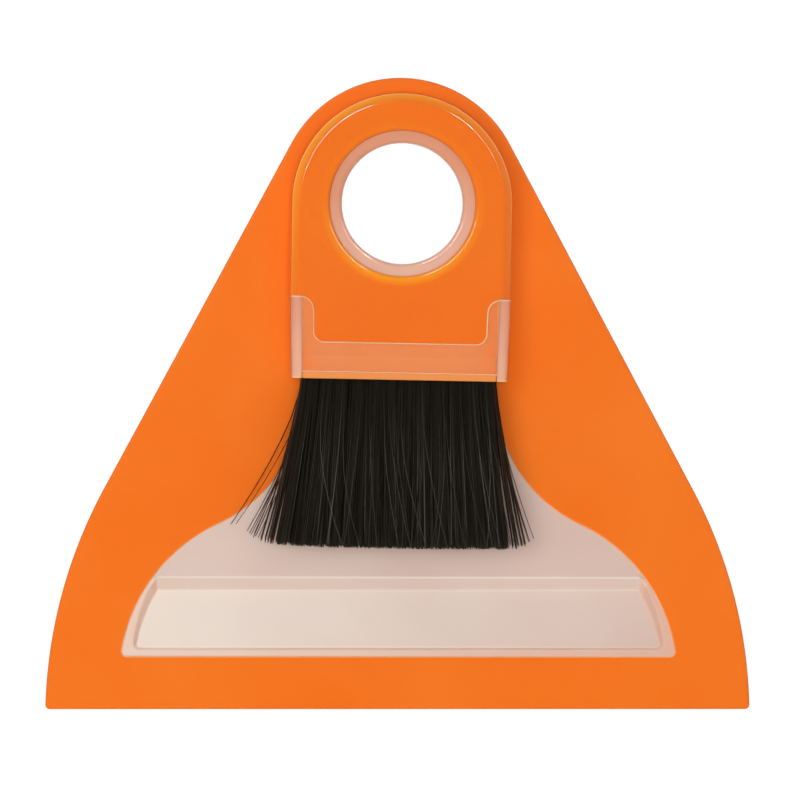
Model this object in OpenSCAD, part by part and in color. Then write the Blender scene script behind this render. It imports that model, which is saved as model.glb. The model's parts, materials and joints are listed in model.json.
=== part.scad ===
// Dust pan and brush set: a wedge-shaped pan with a sunk frosted tray, and a short
// hand brush that hangs on a collar at the pan's arch, swivels there and lifts off.
//
// Table frame: X across, +Y from the sweeping edge to the arch, +Z up, millimetres.
// The origin is on the table under the middle of the pan.
// Most pieces are drawn in plate coordinates (x, v, w) instead: v runs up the plate
// from the sweeping edge, w stands square to the plate, and w = 0 is its top face.

/* [Pan] */
// Width across the sweeping edge
pan_w = 200; // [190:1:215]
// Length of the top plate, from the sweeping edge to the crown of the arch
pan_l = 178.9; // [175:0.1:190]
// Angle at which the top plate rises off the table
tilt = 6; // [5:0.5:8]
// Thickness of the plate and of its skirt
wall = 2; // [1.6:0.1:2.2]
// Height of the sweeping edge above the table
lip_t = 1.2; // [1:0.1:1.5]
// Radius of the arch
arch_r = 35.1; // [34:0.1:37]
// Radius of the bowed flanks
flank_r = 137; // [120:1:150]
// How far behind the sweeping edge the flanks' centre lies
flank_v = -2.6; // [-5:0.1:0]
// Radius of the two corners of the sweeping edge
lip_corner = 2; // [1:0.1:4]

/* [Window and tray] */
// Distance from the sweeping edge to the window
window_v = 14.9; // [13:0.1:18]
// Radius of the window's shoulders
shoulder_r = 48; // [44:0.5:50]
// Distance of the shoulders' centres from the centreline
shoulder_x = 31.1; // [28:0.1:33]
// Distance of the shoulders' centres from the sweeping edge
shoulder_v = 8.9; // [7:0.1:11]
// Radius of the hollow curves above the shoulders
hollow_r = 41.8; // [38:0.1:45]
// Half the width of the window's neck
neck_half = 27; // [24:0.5:29]
// Distance from the sweeping edge to the closed end of the neck
neck_top = 107; // [104:0.5:110]
// Radius of the neck's end corners
neck_corner = 10; // [4:0.5:14]
// Wall thickness of the tray
tray_t = 1.6; // [1.2:0.1:1.6]
// Thickness of the tray's floor, which lies on the table
floor_t = 1.2; // [1:0.1:1.3]
// How far the tray's face lies below the plate
tray_drop = 0.3; // [0.2:0.1:0.5]
// Width of the tray's rim under the plate
rim = 4; // [3:0.1:5]

/* [Ring and collar] */
// Distance from the sweeping edge to the ring's centre
ring_v = 142.9; // [142:0.1:145]
// Radius of the finger hole
finger_r = 17; // [16:0.1:17.5]
// Outer radius of the frosted ring
ring_r = 20.5; // [20.2:0.1:21]
// Outer radius of the collar that stands on the pan
collar_r = 18.85; // [18.4:0.05:18.9]
// Wall thickness of the collar
collar_t = 0.95; // [0.8:0.05:1.2]
// Height of the collar above the plate
collar_h = 5.2; // [4:0.1:5.4]

/* [Brush] */
// Angle at which the brush hangs on the collar, counter-clockwise from above
brush_turn = -0.9; // [-10:0.1:10]
// Width of the handle and the ferrule
handle_w = 62; // [60:0.5:66]
// Thickness of the handle
handle_t = 9.2; // [8.8:0.1:9.4]
// Width of the sloped band round the handle's edge
bevel = 2.3; // [1:0.1:3]
// Thickness of the ferrule
ferrule_t = 10.2; // [10:0.1:10.4]
// Distance from the ring's centre to the top of the ferrule's ears
ear_top = 26.5; // [25:0.1:28]
// Distance from the ring's centre to the ferrule's cut-out
cut_out = 39.2; // [37:0.1:40]
// Distance from the ring's centre to the lower edge of the ferrule's faces
face_end = 47.9; // [46.5:0.1:48.2]
// Distance from the ring's centre to the underside of the bristle block
block_end = 49.7; // [49.4:0.1:51]
// Half the width of the cut-out
cut_half = 24.4; // [23:0.1:25]
// Thickness of the ferrule's side walls
side_t = 2.9; // [2:0.1:3.2]
// Thickness of the ferrule's faces
face_t = 1.1; // [0.9:0.1:1.2]

/* [Bristles] */
// Length of the bristles
bristle_l = 46.7; // [30:0.1:50]
// How much wider the bristles stand at their tips, as a share of the root width
flare = 0.36; // [0:0.01:0.4]
// Columns of strands across the brush
columns = 47; // [20:1:47]
// Radius of a strand at its root
strand_r = 0.38; // [0.2:0.01:0.38]
// Radius of a strand at its tip
tip_r = 0.2; // [0.1:0.01:0.3]

/* [Hidden] */

ORANGE = "#F4731F";
FROSTED = "#E8CFC0";
BLACK = "#1E1A14";
STEEL = "#B8BABC";

// Degrees of arc between two points of an outline
arc_step = 5;
// Overshoot of a cutting tool past the face that it cuts
over = 1;
// Play between two pieces that only lie against each other
ease = 0.1;

// The sweeping edge's place, which centres the part between its ends
lip_y = -(pan_l / cos(tilt) + lip_t * tan(tilt)) / 2;
// Anything this long reaches past the part
far = 300;

flank_x = pan_w / 2 - flank_r;
arch_v = pan_l - arch_r;
// Direction that the straight side faces, from the tangent to arch and flank
side_angle = asin((flank_r - arch_r) / norm([flank_x, arch_v - flank_v]))
             - atan2(-flank_x, arch_v - flank_v);

hollow_x = neck_half + hollow_r;
hollow_v = shoulder_v + sqrt((shoulder_r + hollow_r) ^ 2 - (hollow_x - shoulder_x) ^ 2);
// Direction from a shoulder's centre to the centre of the hollow curve above it
turn_angle = atan2(hollow_v - shoulder_v, hollow_x - shoulder_x);

// The recess: its mouth in the tray's face and its floor
mouth_front = window_v + 2.1;
mouth_back = window_v + 22.3;
mouth_v = shoulder_v + 5.3;
mouth_r = shoulder_r - 2.9;
floor_front = window_v + 2.4;
floor_back = window_v + 19.4;
floor_r = shoulder_r - 3;
recess_corner = 1.4;
recess_wall = 1.2;

// Stakes that hold the tray: direction from the shoulder's centre, and one at the neck
stake_angles = [27, 50];
stake_neck_v = 97;
stake_in = 2.1;
stake_r = 0.9;
stake_head_r = 1.7;
stake_head_t = 0.6;

// Levels of the brush above the plate
lay = 0.3;
mid_w = lay + ferrule_t / 2;
back_w = mid_w - handle_t / 2;
front_w = mid_w + handle_t / 2;
ferrule_front_w = lay + ferrule_t;
// The handle's hole is rounded down to the ring's face
hole_round = 1.2;
ring_face_w = front_w - hole_round;
ring_flange_t = ring_face_w - collar_h - 0.3;
ring_round = 0.9;
rib_r = ring_r + 1.5;
rib_t = 1.2;
slide_play = 0.08;
turn_play = 0.06;
boss_r = ring_r + 3.3;
shell_t = 1.9;

core_half = handle_w / 2 - side_t;
core_w0 = lay + face_t;
core_w1 = ferrule_front_w - face_t;
core_end = block_end - 6.8;
ear_round = 4;
cut_round = 2.7;
side_end = block_end - 0.6;
pin_r = 1.2;
pin_play = 0.1;

// Tufts: three rows, each a slab with its strands, in a pocket of the block
rows = 3;
sub_rows = 3;
tuft_half = core_half - 0.8;
slab_t = 2.5;
slab_gap = 0.3;
slab_h = 1;
slab_play = 0.1;
strand_sides = 3;
tip_clear = 0.95;
tip_spread = 1.42;
bend = 1.2;
jitter = 0.2;
anchor = [2.4, 3, 0.35];
anchors_per_row = 12;

// ---------------------------------------------------------------- outlines

// Points on an arc about c from angle a0 to a1, both ends included
function arc(c, r, a0, a1) =
    let (n = max(1, ceil(abs(a1 - a0) / arc_step)))
    [for (i = [0:n]) let (a = a0 + (a1 - a0) * i / n) c + r * [cos(a), sin(a)]];

// A right half, drawn from bottom to top, with its mirror image
function both_sides(p) =
    concat(p, [for (i = [len(p) - 1:-1:0]) if (p[i][0] > 0.001) [-p[i][0], p[i][1]]]);

// Right half of an outline from its straight front edge at v = front, round a corner
// of radius rc, and up a flank of centre c and radius r to the angle a1
function front_and_flank(front, rc, c, r, a1) =
    let (cv = front + rc)
    let (cx = c[0] + sqrt((r - rc) ^ 2 - (cv - c[1]) ^ 2))
    let (a0 = atan2(cv - c[1], cx - c[0]))
    concat(arc([cx, cv], rc, -90, a0), arc(c, r, a0, a1));

// The pan seen square to its plate, grown by g on every side
function pan_outline(g) = both_sides(concat(
    front_and_flank(-g, max(lip_corner + g, 0.3), [flank_x, flank_v], flank_r + g, side_angle),
    arc([0, arch_v], arch_r + g, side_angle, 90)));

// The window in the plate, grown by g
function window_outline(g) = both_sides(concat(
    front_and_flank(window_v - g, max(recess_corner + g, 0.3), [shoulder_x, shoulder_v],
                    shoulder_r + g, turn_angle),
    arc([hollow_x, hollow_v], hollow_r - g, turn_angle + 180, 180),
    arc([neck_half - neck_corner, neck_top - neck_corner], neck_corner + g, 0, 90)));

// The recess between two straight edges, at its mouth or at its floor, grown by g
function recess_outline(front, back, cv, r, g) = both_sides(
    front_and_flank(front - g, recess_corner + max(g, 0), [shoulder_x, cv], r + g,
                    asin((back + g - cv) / (r + g))));

function mouth_outline(g) = recess_outline(mouth_front, mouth_back, mouth_v, mouth_r, g);

// The floor is level, so its outline is stretched to look right from above the plate
function floor_outline(g) = [
    for (p = recess_outline(floor_front, floor_back, shoulder_v, floor_r, g))
    [p[0], p[1] / cos(tilt)]];

// The handle's arch and straight sides down to v = end, about the ring's centre
function handle_outline(g, end) = both_sides(concat(
    [[handle_w / 2 + g, end]], arc([0, 0], handle_w / 2 + g, 0, 90)));

// The ferrule's upper edge from the outside of its right ear to the middle
function ear_line(g) = concat(
    [[handle_w / 2, -ear_top + g]],
    arc([cut_half + ear_round, -ear_top - ear_round], ear_round + g, 90, 180),
    arc([cut_half - cut_round, -cut_out + cut_round], cut_round - g, 0, -90),
    [[0, -cut_out + g]]);

// ---------------------------------------------------------------- placing

module on_plate() translate([0, lip_y, lip_t]) rotate([tilt, 0, 0]) children();

// The brush's own frame: origin at the ring's centre on the plate, turned as it hangs
module on_brush() on_plate() translate([0, ring_v, 0]) rotate([0, 0, brush_turn]) children();

// A flat piece of the given outline between the levels w0 and w1
module slab(w0, w1, outline) translate([0, 0, w0]) linear_extrude(w1 - w0) polygon(outline);

module above_table() translate([-far / 2, -far / 2, 0]) cube([far, far, far]);

module block(x_half, v0, v1, w0, w1)
    translate([-x_half, v0, w0]) cube([2 * x_half, v1 - v0, w1 - w0]);

module each_stake() {
    for (side = [-1, 1]) {
        for (a = stake_angles)
            translate([side * (shoulder_x + (shoulder_r + stake_in) * cos(a)),
                       shoulder_v + (shoulder_r + stake_in) * sin(a), 0]) children();
        translate([side * (neck_half + stake_in), stake_neck_v, 0]) children();
    }
}

// ---------------------------------------------------------------- pan

// Orange moulding: plate, skirt down to the table, window, and stakes for the tray
module pan_shell() color(ORANGE) intersection() {
    above_table();
    on_plate() {
        difference() {
            slab(-far / 4, 0, pan_outline(0));
            slab(-far / 2, -wall, pan_outline(-wall));
            slab(-wall - over, over, window_outline(0));
            translate([0, ring_v, -wall - over])
                cylinder(h = wall + 2 * over, r = collar_r + ease / 2, $fn = 96);
        }
        each_stake() {
            translate([0, 0, -wall - tray_t]) cylinder(h = tray_t + ease, r = stake_r, $fn = 24);
            translate([0, 0, -wall - tray_t - stake_head_t])
                cylinder(h = stake_head_t, r = stake_head_r, $fn = 24);
        }
    }
}

// The recess as a solid: mouth in the tray's face, sloping walls, level floor
module recess_form(w0, w1, mouth_grow, floor_z, floor_grow) hull() {
    on_plate() slab(w0, w1, mouth_outline(mouth_grow));
    translate([0, lip_y, floor_z]) linear_extrude(ease) polygon(floor_outline(floor_grow));
}

// Frosted moulding that fills the window and sinks to the table as a dust tray
module dust_tray() color(FROSTED) intersection() {
    above_table();
    difference() {
        union() {
            on_plate() {
                slab(-wall - tray_t, -wall, window_outline(rim));
                slab(-wall - tray_t, -tray_drop, window_outline(-ease));
            }
            recess_form(-wall, -wall + ease, recess_wall, 0, recess_wall);
        }
        recess_form(-tray_drop, over, 0, floor_t, 0);
        on_plate() {
            intersection() {
                slab(-wall - tray_t - over, -tray_drop - tray_t, window_outline(-tray_t - ease));
                block(far, mouth_back + 3, far, -far, 0);
            }
            each_stake() translate([0, 0, -wall - tray_t - over])
                cylinder(h = tray_t + 2 * over, r = stake_r + ease / 2, $fn = 24);
        }
    }
}

// Frosted bush set in the plate from below, on which the brush hangs
module ring_collar() color(FROSTED) on_plate() translate([0, ring_v, 0])
    rotate_extrude($fn = 96) polygon([
        [collar_r - collar_t, -wall - tray_t],
        [collar_r + rim, -wall - tray_t],
        [collar_r + rim, -wall],
        [collar_r, -wall],
        [collar_r, collar_h - collar_t / 2],
        [collar_r - collar_t / 2, collar_h],
        [collar_r - collar_t, collar_h]]);

// ---------------------------------------------------------------- brush

// Frosted bush with the finger hole; its rib turns in a groove between the handle shells
module finger_ring() color(FROSTED) on_brush() rotate_extrude($fn = 96) polygon(concat(
    [[collar_r + slide_play, back_w],
     [ring_r, back_w],
     [ring_r, mid_w - rib_t / 2],
     [rib_r, mid_w - rib_t / 2],
     [rib_r, mid_w + rib_t / 2],
     [ring_r, mid_w + rib_t / 2],
     [ring_r, ring_face_w]],
    arc([finger_r + ring_round, ring_face_w - ring_round], ring_round, 90, 180),
    [[finger_r, ring_face_w - ring_flange_t],
     [collar_r + slide_play, ring_face_w - ring_flange_t]]));

// Half of the handle's bulk above the ferrule, between the seam and a bevelled face.
// side is 1 for the front half and -1 for the back half.
module handle_bulk(side) {
    t = handle_t / 2;
    translate([0, 0, mid_w]) mirror([0, 0, side < 0 ? 1 : 0]) hull() {
        slab(0, t - bevel * 0.7, handle_outline(0, -ear_top + ease));
        slab(0, t, handle_outline(-bevel, -ear_top + ease));
    }
}

// The tongue between the ferrule's ears and the core inside the ferrule
module handle_tongue(side) {
    face = [for (p = ear_line(ease)) if (p[0] < core_half) p];
    top = -ear_top + 2 * over;
    outline = both_sides(concat([for (i = [len(face) - 1:-1:0]) face[i]],
                                [[core_half - over, -ear_top + ease], [core_half - over, top]]));
    w0 = side > 0 ? mid_w : back_w;
    slab(w0, w0 + handle_t / 2, outline);
    block(core_half - ease, -core_end, -ear_top + 2 * over,
          side > 0 ? mid_w : core_w0 + ease, side > 0 ? core_w1 - ease : mid_w);
}

// Places of the pins that join the two halves
pin_spots = [[-19, -32.5], [19, -32.5], [0, 26.3]];

module ring_seat() {
    translate([0, 0, -over]) cylinder(h = far / 4, r = ring_r + turn_play, $fn = 96);
    translate([0, 0, mid_w - rib_t / 2 - ease])
        cylinder(h = rib_t + 2 * ease, r = rib_r + turn_play, $fn = 96);
    hole_edge();
    translate([0, 0, 2 * mid_w]) mirror([0, 0, 1]) hole_edge();
}

// What the rounding of the hole's edge takes away at the front face
module hole_edge() rotate_extrude($fn = 96) polygon(concat(
    [[ring_r, front_w - hole_round], [ring_r, front_w + over],
     [ring_r + turn_play + hole_round, front_w + over]],
    arc([ring_r + turn_play + hole_round, front_w - hole_round], hole_round, 90, 180)));

// Space inside one half, between its outer wall and the boss round the ring
module handle_hollow(side) difference() {
    w = side > 0 ? mid_w - ease : back_w + shell_t;
    slab(w, w + handle_t / 2 - shell_t + ease, handle_outline(-shell_t - bevel / 2, -ear_top + 4));
    translate([0, 0, -over]) cylinder(h = far / 4, r = boss_r, $fn = 96);
    for (p = pin_spots) translate([p[0], p[1], -over]) cylinder(h = far / 4, r = 2.2, $fn = 32);
}

module handle_front() color(ORANGE) on_brush() {
    difference() {
        union() {
            handle_bulk(1);
            handle_tongue(1);
        }
        ring_seat();
        handle_hollow(1);
    }
    for (p = pin_spots) translate([p[0], p[1], mid_w - 2.4])
        cylinder(h = 2.5, r = pin_r, $fn = 24);
}

module handle_back() color(ORANGE) on_brush() difference() {
    union() {
        handle_bulk(-1);
        handle_tongue(-1);
    }
    ring_seat();
    handle_hollow(-1);
    for (p = pin_spots) translate([p[0], p[1], mid_w - 2.6])
        cylinder(h = 4, r = pin_r + pin_play, $fn = 24);
}

// Frosted sleeve round the core and the block, with an ear up each side
module ferrule() color(FROSTED) on_brush() difference() {
    union() {
        block(handle_w / 2, -face_end, -ear_top, lay, ferrule_front_w);
        for (side = [-1, 1])
            translate([side * (handle_w / 2 - side_t / 2), 0, 0])
                block(side_t / 2, -side_end, -face_end + over, lay, ferrule_front_w);
    }
    block(core_half, -block_end - over, -ear_top + over, core_w0, core_w1);
    slab(lay - over, ferrule_front_w + over,
         both_sides(concat([for (i = [len(ear_line(0)) - 1:-1:1]) ear_line(0)[i]],
                           [[cut_half + ear_round, -ear_top + over]])));
}

// Orange block that holds the tufts, with a flange under the ferrule's faces
module bristle_block() color(ORANGE) on_brush() difference() {
    union() {
        block(core_half - ease, -block_end, -core_end - ease, core_w0 + ease, core_w1 - ease);
        block(core_half - ease, -block_end, -face_end - ease, lay + 0.2, ferrule_front_w - 0.2);
    }
    block(tuft_half + slab_play, -block_end - over, -block_end + slab_h + slab_play,
          tuft_level(0) - slab_t / 2 - slab_play, tuft_level(rows - 1) + slab_t / 2 + slab_play);
    each_anchor(ease / 2);
}

// Middle level of a row of tufts; row 0 lies nearest the pan
function tuft_level(row) = mid_w + (row - (rows - 1) / 2) * (slab_t + slab_gap);

module each_anchor(grow) for (row = [0:rows - 1], i = [0:anchors_per_row - 1])
    translate([(i - (anchors_per_row - 1) / 2) * 2 * tuft_half / anchors_per_row,
               -block_end + slab_h + slab_play + anchor[1] / 2, tuft_level(row)])
        cube(anchor + [2, 2, 2] * grow, center = true);

// Staples that pinch the tufts in the block
module tuft_anchors() color(STEEL) on_brush() each_anchor(-ease / 2);

// ---------------------------------------------------------------- bristles

// Where a strand stands a share s of the way to its tip: the bundle widens alike for
// all strands, so none crosses another. root is its place (x, w) in the slab, and
// wander its own small offset (x, w, length) at the tip.
function strand_at(root, wander, s) =
    let (open = s ^ bend)
    let (tip_w = tip_clear + (root[1] - lay - face_t) * tip_spread)
    [root[0] * (1 + flare * open) + wander[0] * s,
     -block_end - bristle_l * s * (1 + wander[2] * 0.04),
     root[1] + (tip_w - root[1]) * open + wander[1] * s];

// One row of tufts: a slab whose underside is a grid of cells, each cell carrying one
// three-sided strand, all in one closed skin
module tufts(row) {
    w0 = tuft_level(row) - slab_t / 2;
    nx = columns;
    nw = sub_rows;
    cell = [2 * tuft_half / nx, slab_t / nw];
    wander = rands(-jitter, jitter, 3 * nx * nw, 40 + row);
    shares = [0, 0.5, 1];
    radii = [strand_r, (2 * strand_r + tip_r) / 3, tip_r];

    grid = [for (j = [0:nw], i = [0:nx]) [i * cell[0] - tuft_half, -block_end, w0 + j * cell[1]]];
    top = [for (c = [[-1, 0], [1, 0], [1, 1], [-1, 1]])
           [c[0] * tuft_half, -block_end + slab_h, w0 + c[1] * slab_t]];
    rings = [for (j = [0:nw - 1], i = [0:nx - 1], k = [0:2])
             let (n = 3 * (j * nx + i))
             let (root = [(i + 0.5) * cell[0] - tuft_half, w0 + (j + 0.5) * cell[1]])
             let (p = strand_at(root, [wander[n], wander[n + 1], wander[n + 2]], shares[k]))
             for (a = [90, 210, 330]) p + radii[k] * [cos(a), 0, sin(a)]];

    // Numbers of the points: the grid, the four corners behind it, then the rings
    t = len(grid);
    function g(i, j) = j * (nx + 1) + i;
    function ring(i, j, k, a) = t + 4 + ((j * nx + i) * 3 + k) * strand_sides + a;

    cells = [for (j = [0:nw - 1], i = [0:nx - 1])
             let (A = g(i, j), B = g(i + 1, j), C = g(i + 1, j + 1), D = g(i, j + 1))
             let (T = ring(i, j, 0, 0), L = ring(i, j, 0, 1), R = ring(i, j, 0, 2))
             each [[A, B, R], [A, R, L], [B, C, R], [C, T, R], [C, D, T], [D, L, T], [D, A, L]]];
    sides = [for (j = [0:nw - 1], i = [0:nx - 1], k = [0:1], a = [0:2])
             let (b = (a + 1) % 3)
             let (P = ring(i, j, k, a), Q = ring(i, j, k, b))
             each [[P, Q, ring(i, j, k + 1, b)], [P, ring(i, j, k + 1, b), ring(i, j, k + 1, a)]]];
    tips = [for (j = [0:nw - 1], i = [0:nx - 1])
            [ring(i, j, 2, 0), ring(i, j, 2, 1), ring(i, j, 2, 2)]];
    back = concat(
        [for (i = [0:nx - 1]) [g(i + 1, 0), g(i, 0), t]], [[g(nx, 0), t, t + 1]],
        [for (j = [0:nw - 1]) [g(nx, j + 1), g(nx, j), t + 1]], [[g(nx, nw), t + 1, t + 2]],
        [for (i = [nx:-1:1]) [g(i - 1, nw), g(i, nw), t + 2]], [[g(0, nw), t + 2, t + 3]],
        [for (j = [nw:-1:1]) [g(0, j - 1), g(0, j), t + 3]], [[g(0, 0), t + 3, t]],
        [[t, t + 3, t + 2], [t, t + 2, t + 1]]);

    polyhedron(points = concat(grid, top, rings),
               faces = [for (f = concat(cells, sides, tips, back)) [f[2], f[1], f[0]]]);
}

module tufts_front() color(BLACK) on_brush() tufts(2);
module tufts_middle() color(BLACK) on_brush() tufts(1);
module tufts_back() color(BLACK) on_brush() tufts(0);

pan_shell();
dust_tray();
ring_collar();
finger_ring();
handle_front();
handle_back();
ferrule();
bristle_block();
tufts_front();
tufts_middle();
tufts_back();
tuft_anchors();
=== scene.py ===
"""Looks of a dust pan and brush set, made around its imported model.

Shapes are worked out in millimetres in the frame that suits them and put in place last:
  plate frame (x, v, w): v runs up the pan's top plate from the sweeping edge, w stands
  square to the plate, and w = 0 is the plate's top face;
  brush frame (x, v, w): the same directions, turned as the brush hangs, with its origin
  on the plate at the centre of the ring.
An outline is an array of rows (x, v, nx, nv): points in order against the clock, with
their outward normals, so it grows by g when g times the normal is added.
"""

import json
import math

import bmesh
import bpy
import numpy as np
from mathutils import Matrix, Vector
from mathutils.geometry import tessellate_polygon


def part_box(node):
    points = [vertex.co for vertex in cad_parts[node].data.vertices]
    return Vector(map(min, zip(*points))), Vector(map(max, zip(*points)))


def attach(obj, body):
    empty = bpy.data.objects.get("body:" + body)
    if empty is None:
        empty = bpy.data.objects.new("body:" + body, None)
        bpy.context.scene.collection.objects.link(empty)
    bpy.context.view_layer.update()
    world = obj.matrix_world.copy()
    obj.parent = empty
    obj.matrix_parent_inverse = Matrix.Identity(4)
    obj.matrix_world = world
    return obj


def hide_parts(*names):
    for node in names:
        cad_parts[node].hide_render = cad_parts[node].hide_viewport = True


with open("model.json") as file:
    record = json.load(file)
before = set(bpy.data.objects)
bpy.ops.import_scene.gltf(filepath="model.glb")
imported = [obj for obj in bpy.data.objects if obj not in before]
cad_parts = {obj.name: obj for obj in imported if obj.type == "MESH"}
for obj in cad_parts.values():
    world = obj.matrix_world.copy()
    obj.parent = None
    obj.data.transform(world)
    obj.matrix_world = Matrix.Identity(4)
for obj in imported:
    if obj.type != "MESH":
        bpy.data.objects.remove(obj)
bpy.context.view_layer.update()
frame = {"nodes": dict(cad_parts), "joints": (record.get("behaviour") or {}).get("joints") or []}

MM = 0.001

# -------------------- the frame's own values

SWIVEL = next(joint for joint in frame["joints"] if joint["name"] == "brush_swivel")
UP = np.array(SWIVEL["axis"])
SIN, COS = -UP[1], UP[2]
PAN_LOW, PAN_HIGH = np.array(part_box("pan_shell")) / MM
LIP_Y = PAN_LOW[1]
# The skirt stands square to the plate, so the shell is l / cos + lip tan long and
# lip + l sin high: solved for the lip's height, and then for the plate's length l
LIP_T = (PAN_HIGH[2] - (PAN_HIGH[1] - PAN_LOW[1]) * SIN * COS) / COS ** 2
PAN_L = (PAN_HIGH[2] - LIP_T) / SIN
RING = np.array(SWIVEL["pos_m"]) / MM
MID_W = (RING[2] - LIP_T) * COS - (RING[1] - LIP_Y) * SIN
RING_V = (RING[1] - LIP_Y) * COS + (RING[2] - LIP_T) * SIN
TURN = math.radians(-0.9)

# -------------------- sizes, in millimetres

# Pan
PAN_W = 199.95
WALL = 2
ARCH_R = 35.1
FLANK_R = 137
FLANK_V = -2.6
LIP_CORNER = 1.3
# Where the space under the plate starts
SPACE_V = 9.5

# Window and tray
WINDOW_V = 14.9
SHOULDER = (31.1, 8.9)
SHOULDER_R = 48
HOLLOW_R = 41.8
NECK_HALF = 27
NECK_TOP = 107
NECK_CORNER = 10
FRONT_CORNER = 1.4
TRAY_T = 1.6
FLOOR_T = 1.2
TRAY_DROP = 0.3
RIM = 4
# Level of the underside of the tray's rim
RIM_W = -WALL - TRAY_T
# The recess's mouth and floor: how far up the plate the front edge, the rear edge and the
# flanks' centres lie, and the flanks' radius
MOUTH = (WINDOW_V + 2.1, WINDOW_V + 22.3, SHOULDER[1] + 5.3, SHOULDER_R - 3.9)
FLOOR = (WINDOW_V + 2.4, WINDOW_V + 18.9, SHOULDER[1] + 1.5, SHOULDER_R - 3.9)
LIP_ROUND = 0.45
TOE_ROUND = 0.4
# The recess's walls are this thick sideways, at the mouth and at the foot
MOUTH_WALL = 0.9
FOOT_WALL = 1.15
POCKET_V = WINDOW_V + 25.5
POCKET_INSET = 1.7
# The stakes' distance from the window's edge, and where they stand along it
STAKE_OUT = 2.1
STAKE_ANGLES = (27, 50)
STAKE_V = 97
FIT = 0.1

# Ring and collar
FINGER_R = 17
RING_R = 20.5
COLLAR_R = 18.85
COLLAR_T = 0.95
COLLAR_H = 5.2
RING_ROUND = 1.4
RIB_OUT = 1.5
RIB_HALF = 0.6

# Handle, ferrule and block, measured from the ring's centre
HANDLE_HALF = 31
HANDLE_T = 9.2
FERRULE_T = 10.2
BEVEL = 2.3
BEVEL_DROP = 1.6
EAR_TOP = 26.5
EAR_R = 4
CUT_OUT = 39.2
CUT_R = 2.7
FACE_END = 47.9
BLOCK_END = 49.7
CUT_HALF = 24.4
SIDE_T = 2.9
FACE_T = 1.1
TAPER = 0.023
# The handle's core and the block's body fill the ferrule, and meet at this place
CORE_HALF = HANDLE_HALF - SIDE_T - FIT
CORE_W = FERRULE_T / 2 - FACE_T - FIT
CORE_END = BLOCK_END - 6.7
# Each half of the handle ends this far short of the middle
SEAM = 0.02

BACK_W = MID_W - HANDLE_T / 2
FRONT_W = MID_W + HANDLE_T / 2
HOLE_ROUND = 1.2
RING_FACE_W = FRONT_W - HOLE_ROUND

# Bristles
BRISTLE_L = 46.7
BRISTLE_R = 0.14
ROOT_DEPTH = 0.9
ROW_PITCH = 2.8
TIP_W = 0.95
ROW_SPREAD = 1.42
FAN = 8.0
# For each side of the brush: where the solid mass of tips ends, the locks beyond it, and
# the single strays of the three rows, all as distances from the brush's middle
TIPS = {-1: (34.2, (34.8, 35.4, 36.2, 37.0, 38.1),
             ((46.4, 41.8, 40.6, 39.4), (45.0, 41.2, 39.9), (40.2, 38.8))),
        1: (32.0, (32.9, 33.8, 34.5, 35.5, 36.4), ((39.3, 38.1), (37.7,), (37.3,)))}


# -------------------- frames and outlines


def from_plate(p):
    """Plate frame, in millimetres, to the row frame, in metres: a turn by the plate's slope."""
    x, v, w = np.moveaxis(np.asarray(p, float), -1, 0)
    return np.stack([x, LIP_Y + v * COS - w * SIN, LIP_T + v * SIN + w * COS], -1) * MM


def from_brush(p):
    """Brush frame to the row frame: a turn about the ring's axis, then the plate's slope."""
    x, v, w = np.moveaxis(np.asarray(p, float), -1, 0)
    c, s = math.cos(TURN), math.sin(TURN)
    return from_plate(np.stack([x * c - v * s, RING_V + x * s + v * c, w], -1))


def tapered(p):
    """Brush frame: the sleeve and what it holds, drawn in by 2.3% towards the sleeve's foot."""
    share = np.clip((-EAR_TOP - p[:, 1]) / (BLOCK_END - EAR_TOP), 0, 1)
    same = np.ones(len(p))
    return p * np.column_stack([1 - TAPER * share, same, same])


def table_w(v, height=0.0):
    """The level w, at a place v up the plate, of a point this far above the table."""
    return (height - LIP_T - v * SIN) / COS


def arc(centre, radius, start, end, count):
    """Outline rows on a circle from one angle to another, in degrees; a negative radius
    gives a hollow curve, whose outward normal points at its centre."""
    a = np.radians(np.linspace(start, end, count))
    n = np.stack([np.cos(a), np.sin(a)], -1)
    return np.hstack([np.array(centre) + abs(radius) * n, math.copysign(1, radius) * n])


def mirrored(right):
    """A right half drawn from bottom to top, followed by its mirror image."""
    left = right[::-1] * [-1, 1, -1, 1]
    return np.vstack([right, left[left[:, 0] < -1e-6]])


def front_and_flank(front, corner, centre, radius, end, count=40):
    """Right half of an outline from a straight front edge, round a corner arc that is
    tangent inside the flank's circle, and along the flank to the angle end."""
    cv = front + corner
    cx = centre[0] + math.sqrt((radius - corner) ** 2 - (cv - centre[1]) ** 2)
    start = math.degrees(math.atan2(cv - centre[1], cx - centre[0]))
    flank = arc(centre, radius, start, end, count)
    return np.vstack([arc((cx, cv), corner, -90, start, 9), flank[1:]])


def grown(outline, g):
    """The outline's points moved outwards by g."""
    return outline[:, :2] + outline[:, 2:] * g


FLANK = (PAN_W / 2 - FLANK_R, FLANK_V)
ARCH = (0, PAN_L - ARCH_R)
SIDE_ANGLE = math.degrees(
    math.asin((FLANK_R - ARCH_R) / math.hypot(FLANK[0], ARCH[1] - FLANK_V))
    - math.atan2(-FLANK[0], ARCH[1] - FLANK_V))
HOLLOW = (NECK_HALF + HOLLOW_R,
          SHOULDER[1] + math.sqrt((SHOULDER_R + HOLLOW_R) ** 2
                                  - (NECK_HALF + HOLLOW_R - SHOULDER[0]) ** 2))
TURN_ANGLE = math.degrees(math.atan2(HOLLOW[1] - SHOULDER[1], HOLLOW[0] - SHOULDER[0]))


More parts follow.
